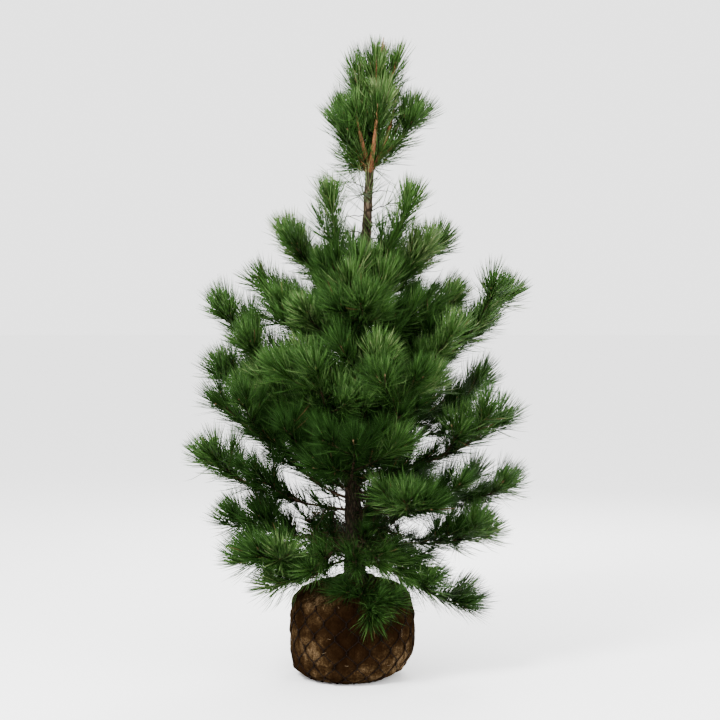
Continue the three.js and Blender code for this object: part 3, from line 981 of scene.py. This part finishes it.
def makeNeedles():
    total = sum(lengthOf(r["path"]) * r["fullness"] for r in runs)
    tufts = sum(needleShape["tuft"] for r in runs if r["tuft"])
    spacing = total / (needleShape["count"] / 2 - tufts)
    print("pairs of needles in tufts:", tufts, "gap between the others:", round(spacing, 5))
    sprays = {tone: [] for tone in needleTones}
    for run in runs:
        spray = sprayOf(run, spacing)
        keep = allowedNeedles(*spray)
        roll = dice.random(len(keep))
        limits = np.cumsum([*needleShape["mixing"], 1])
        # the lighter needles mixed into each spray are painted highlights
        tones = "dry", *(deeper(run["tone"], step) for step in (-2, 1, -1, 0))
        for tone, low, high in zip(tones, [0, *limits], limits):
            sprays[tone].append([part[keep & (roll >= low) & (roll < high)] for part in spray])
    made = []
    for tone, groups in sprays.items():
        if not groups:
            continue
        spray = [np.concatenate(part) for part in zip(*groups)]
        bent = tone not in ("deep", "shade")
        share = max(1, math.ceil(len(spray[0]) / needleShape["perPiece"] / (1 if bent else 2.4)))
        for number, chosen in enumerate(np.array_split(np.arange(len(spray[0])), share)):
            name = f"needles_{tone}_{number + 1}"
            arrays = needleArrays(*(part[chosen] for part in spray), bent)
            made.append(meshOf(name, *arrays, needleTones[tone]))
            print(name, "has", len(chosen), "needles")
    return made


needlePieces = makeNeedles()
for piece in needlePieces:
    declare(piece, "needles", *(foliageNodes if piece is needlePieces[0] else ()))
print("needles made")


whorlHeights = np.array(sorted({round(float(m.root[2]), 3) for m in masses}))
trunk = makeTrunk(whorlHeights)
declare(trunk, "bark", "trunk")
boughPiece = boughs.build("boughs", boughBark)
topBoughs = [n for n in boughNodes if n.startswith("bough_top")]
declare(boughPiece, "bark", *[n for n in boughNodes if n not in topBoughs])
declare(twigs.build("twigs", boughBark), "bark")
declare(youngWood.build("young_shoots", youngBark), "young_bark", *topBoughs)
declare(shoots.build("green_shoots", shootBark), "young_bark")


def makeBuds():
    # pointed buds with overlapping scales at the ends of the shoots
    cones = Tubes()
    for place, ahead, size in buds:
        length = 0.014 * size
        path = place + ahead * np.array([-0.1, 0.3, 0.7, 1.05])[:, None] * length
        cones.add(path, np.array([0.5, 1, 0.75, 0.15]) * 0.0034 * min(size, 1.7), 5)
    return cones.build("buds", budScales)


declare(makeBuds(), "young_bark")
print("wood made")


ball = {
    "steps": 180,  # round the ball
    "cells": 17,  # meshes of the netting round the ball
    "cellHeight": 0.098,
    "pillow": 0.0075,  # by which the sacking bulges between the wires
    "pleats": 46,  # gathers round the shoulder
    "pleatDepth": 0.0042,
    "wire": 0.0013,  # radius
    "underRings": 9,  # rings of the underside, then those of the side
    "sideRings": 53,
    "neck": 0.013,  # height of the gathered neck
    "shoulderDrop": 0.026,  # from the CAD collar's top to the shoulder
}


def ballSlice(height):
    return sliceOf(ballPoints, ballFaces, height)


def ballProfile():
    # outline from the middle of the underside, round the side and up the gathered neck
    neckInner = trunkAt(trunkFoot)[1] + 0.003
    shoulder = ballTop - ball["shoulderDrop"]
    footReach = ballSlice(0.002)[1] - 0.004
    rows = [(r, 0.0028) for r in np.linspace(0.012, footReach, ball["underRings"])]
    lower = np.linspace(0.006, 0.05, 9)
    upper = np.linspace(0.058, shoulder - 0.035, ball["sideRings"] - len(lower))
    for height in np.concatenate([lower, upper]):
        rows.append((ballSlice(height)[1], height))
    top = rows[-1]
    crown = [(0.9, 0.3), (0.78, 0.58), (0.64, 0.8), (0.5, 0.94), (0.41, 1.0)]
    for share, rise in crown:
        rows.append((top[0] * share, top[1] + (shoulder - top[1]) * rise))
    neck = [(1.42, 0.1), (1.36, 0.45), (1.45, 0.8), (1.5, 1.0), (1.28, 1.04), (1.05, 0.9),
            (1.0, 0.5)]
    for share, rise in neck:
        rows.append((neckInner * share, shoulder + ball["neck"] * rise))
    return rows


profile = np.array(ballProfile())
profileRun = np.concatenate([[0], np.cumsum(np.linalg.norm(np.diff(profile, axis=0), axis=1))])
sideStart = float(profileRun[ball["underRings"] - 1])
shoulderRun, neckRun = profileRun[57], profileRun[-6]  # where the netting turns in, and ends
neckCentre = trunkAt(trunkFoot)[0]


def ballSurface(angle, run):
    # a point of the smooth ball and its outward normal, from the angle round and the run up it
    radius = np.interp(run, profileRun, profile[:, 0])
    height = np.interp(run, profileRun, profile[:, 1])
    before, after = ([np.interp(run + step, profileRun, profile[:, i]) for i in (0, 1)]
                     for step in (-0.004, 0.004))
    ahead, rise = after[0] - before[0], after[1] - before[1]
    length = max(math.hypot(ahead, rise), 1e-6)
    middle = ballMiddle(height)
    out = outward(angle)
    turned = (angle + 0.3 + math.pi) % (2 * math.pi) - math.pi  # from a flat low on the right
    dent = 0.022 * math.exp(-((turned / 0.75) ** 2)) * max(0.0, 1 - height / 0.09)
    place = middle + out * (radius * (1 + 0.02 * lumpiness(angle, height)) - dent)
    place[2] = height
    return place, unit(out * rise / length - up * ahead / length)


def ballMiddle(height):
    # the neck follows the trunk's foot, the rest the CAD ball's own middle
    share = min(max((height - ballTop + 0.09) / 0.06, 0), 1)
    base = ballSlice(min(max(height, 0.004), ballTop - 0.05))[0] * (1 - share) + neckCentre * share
    return np.array([base[0], base[1], 0.0])


def lumpiness(angle, height):
    fade = min(1.0, max(0.0, (ballTop - 0.03 - height) / 0.05))
    spot = Vector((math.cos(angle) * 1.6, math.sin(angle) * 1.6, height * 5))
    return noise.noise(spot) * fade


def pillowAt(angle, run):
    # 0 along the wires and 1 in the middle of a mesh of the netting
    across = angle / (2 * math.pi) * ball["cells"]
    rise = (run - sideStart) / ball["cellHeight"]
    first = abs(math.sin(math.pi * (across + rise)))
    second = abs(math.sin(math.pi * (across - rise)))
    return (first * second) ** 0.55


def makeBall():
    rings = [((0, 0, height), reach) for reach, height in profile]
    sacking = ringedShape("burlap_ball", ball["steps"], rings)
    mesh = sacking.data
    layer = mesh.uv_layers.new(name="threads")
    ringOf = np.arange(len(mesh.vertices)) // ball["steps"]
    turns = np.array([math.atan2(v.co.y, v.co.x) for v in mesh.vertices])
    for corner in mesh.loops:
        i = corner.vertex_index
        turn = turns[i] % (2 * math.pi)
        layer.data[corner.index].uv = (turn * 0.2, profileRun[min(ringOf[i], len(profile) - 1)])
    for face in mesh.polygons:  # the last column of faces runs on past the full turn
        spots = [layer.data[k].uv for k in face.loop_indices]
        if max(s[0] for s in spots) - min(s[0] for s in spots) > 0.6 and len(spots) == 4:
            for spot in spots:
                if spot[0] < 0.6:
                    spot[0] += 2 * math.pi * 0.2
    # painted shade: a point attribute, 1 on the pillows and low in the creases along the wires,
    # where the sacking is painted darker
    bulge = mesh.attributes.new("bulge", "FLOAT", "POINT")
    for corner in mesh.vertices:
        ring = min(int(ringOf[corner.index]), len(profile) - 1)
        run, angle = profileRun[ring], turns[corner.index]
        place, normal = ballSurface(angle, run)
        height = profile[ring][1]
        under = ring < ball["underRings"]
        push = 0.0
        bulge.data[corner.index].value = 1.0
        if not under:
            grip = min(1.0, max(0.0, (ballTop - 0.03 - height) / 0.03))
            grip *= min(1.0, (run - sideStart) / 0.02)
            pillow = pillowAt(angle, run)
            # painted shade in the creases along the wires
            bulge.data[corner.index].value = 1 - grip * (1 - min(1, 0.15 + 2.1 * pillow))
            push = ball["pillow"] * (pillow - 0.35) * grip
            gather = min(1.0, max(0.0, (height - ballTop * 0.55) / (ballTop * 0.4)))
            around = Vector((2 * math.cos(angle), 2 * math.sin(angle), height * 12))
            wave = math.sin(ball["pleats"] * angle + 3 * noise.noise(around))
            push += ball["pleatDepth"] * gather**1.5 * wave * (0.35 + 0.65 * min(1, grip + 0.4))
            push += 0.0022 * noise.noise(Vector(place) * 38)
            push += 0.0008 * noise.noise(Vector(place) * 150)
        corner.co = place + normal * push
        corner.co.z = max(corner.co.z, 0.0012)
    activate(sacking)
    bpy.ops.object.shade_smooth()
    mesh.materials.append(sackingFinish().material)
    return sacking


sacking = makeBall()
declare(sacking, "sacking", "root_ball")


def makeNetting():
    # wires run from under the ball to its neck in zigzags, and twist once round their neighbour
    # at each crossing
    wires = Tubes()
    radius = ball["wire"]
    firstRow, lastRow = -1, int((shoulderRun - sideStart) / ball["cellHeight"] * 2)
    twist = 0.0085  # half the height of a crossing

    def spotOn(column, run):
        angle = math.pi * column / ball["cells"]
        return angle, *ballSurface(angle, min(max(run, 0.03), neckRun))

    for strand in range(2 * ball["cells"]):
        path = []
        for row in range(firstRow, lastRow + 1):
            column = strand if (row - strand) % 2 == 0 else strand + 1
            sign = 1 if column == strand else -1
            run = sideStart + row * ball["cellHeight"] / 2
            for phase in (-1, -0.5, 0, 0.5, 1):
                spin = math.pi * (phase + 1)
                angle, place, normal = spotOn(column, run + phase * twist)
                around = np.array([-math.sin(angle), math.cos(angle), 0])
                offset = around * sign * math.cos(spin) * radius * 1.15
                offset = offset + normal * (sign * math.sin(spin) * radius * 1.15 + radius * 0.9)
                path.append(place + offset)
            if row < lastRow:
                nextColumn = strand if column != strand else strand + 1
                for share in (0.3, 0.5, 0.7):
                    here = run + twist + share * (ball["cellHeight"] / 2 - 2 * twist)
                    _, place, normal = spotOn(column + (nextColumn - column) * share, here)
                    path.append(place + normal * radius * 0.55)
        path = np.array(path)
        path[:, 2] = np.maximum(path[:, 2], radius + 0.0002)
        moved = np.linalg.norm(np.diff(path, axis=0), axis=1) > 0.0004
        path = path[np.concatenate([[True], moved])]
        wires.add(path, np.full(len(path), radius), 6)
    for height, spread in ((0.35, 1.45), (0.62, 1.43)):
        ring = []
        for turn in np.linspace(0, 2 * math.pi, 60):
            reach = (trunkAt(trunkFoot)[1] + 0.003) * spread * (1 + 0.015 * math.sin(7 * turn))
            ring.append(neckCentre + [reach * math.cos(turn), reach * math.sin(turn),
                                      ball["neck"] * height + ballTop
                                      - ball["shoulderDrop"] - trunkFoot])
        wires.add(ring, np.full(60, radius * 1.3), 6)
    return wires.build("wire_netting", rustyWire)


netting = makeNetting()
declare(netting, "sacking")


def makeStraw():
    # stray fibres caught in the sacking
    fibres = Tubes()
    for _ in range(30):
        angle, run = dice.uniform(0, 6.28), dice.uniform(sideStart + 0.02, profileRun[-14])
        place, normal = ballSurface(angle, run)
        if place[2] < 0.05:
            continue
        around = unit(np.cross(normal, up) + 1e-4)
        heading = unit(around * dice.normal() + np.cross(normal, around) * dice.normal())
        length = dice.uniform(0.008, 0.028)
        lift = ball["pillow"] * (pillowAt(angle, run) - 0.3) + 0.0012
        start = place + normal * lift
        end = start + heading * length + normal * dice.uniform(-0.002, 0.005)
        path = bentPath(start, unit(heading + normal * 0.3), end, unit(heading - normal * 0.2), 5)
        fibres.add(path, np.linspace(0.0005, 0.00025, 5), 4)
    return fibres.build("straw_fibres", straw)


declare(makeStraw(), "sacking")
print("root ball made")


studio = {
    "floorRadius": 400,
    "skyLight": 2.8,
    "lens": 70,
    "eye": (0.029, -5.0, 1.23),
    "downTilt": 1.2,  # degrees
    "lookAt": (0, 0, 1.1),  # where the lamps point
    "lamps": (  # name, place, size and power
        ("key light", (-2.4, -3.4, 4.4), 1.6, 760),
        ("fill light", (3.4, -3.2, 2.4), 2.6, 200),
        ("back light", (1.2, 3.6, 3.6), 2.4, 260),
    ),
}
floorFinish = Finish("pale floor", Base_Color=(0.93, 0.93, 0.93, 1), Roughness=0.9)
bpy.ops.mesh.primitive_circle_add(vertices=96, radius=studio["floorRadius"], fill_type="NGON")
floor = bpy.context.object
floor.name = "floor"
floor.data.materials.append(floorFinish.material)


def addLight(name, place, size, power):
    light = bpy.data.lights.new(name, "AREA")
    light.shape, light.size, light.energy = "DISK", size, power
    lamp = bpy.data.objects.new(name, light)
    lamp.location = place
    towards = Vector(studio["lookAt"]) - Vector(place)
    lamp.rotation_euler = towards.to_track_quat("-Z", "Y").to_euler()
    bpy.context.scene.collection.objects.link(lamp)


for lamp in studio["lamps"]:
    addLight(*lamp)
world = bpy.data.worlds.new("studio")
world.use_nodes = True
world.node_tree.nodes["Background"].inputs[0].default_value = (1, 1, 1, 1)
world.node_tree.nodes["Background"].inputs[1].default_value = studio["skyLight"]
bpy.context.scene.world = world

cameraData = bpy.data.cameras.new("camera")
cameraData.lens, cameraData.sensor_width = studio["lens"], 36
camera = bpy.data.objects.new("camera", cameraData)
camera.location = studio["eye"]
camera.rotation_euler = (math.radians(90 - studio["downTilt"]), 0, 0)
bpy.context.scene.collection.objects.link(camera)
bpy.context.scene.camera = camera
print("stage set")
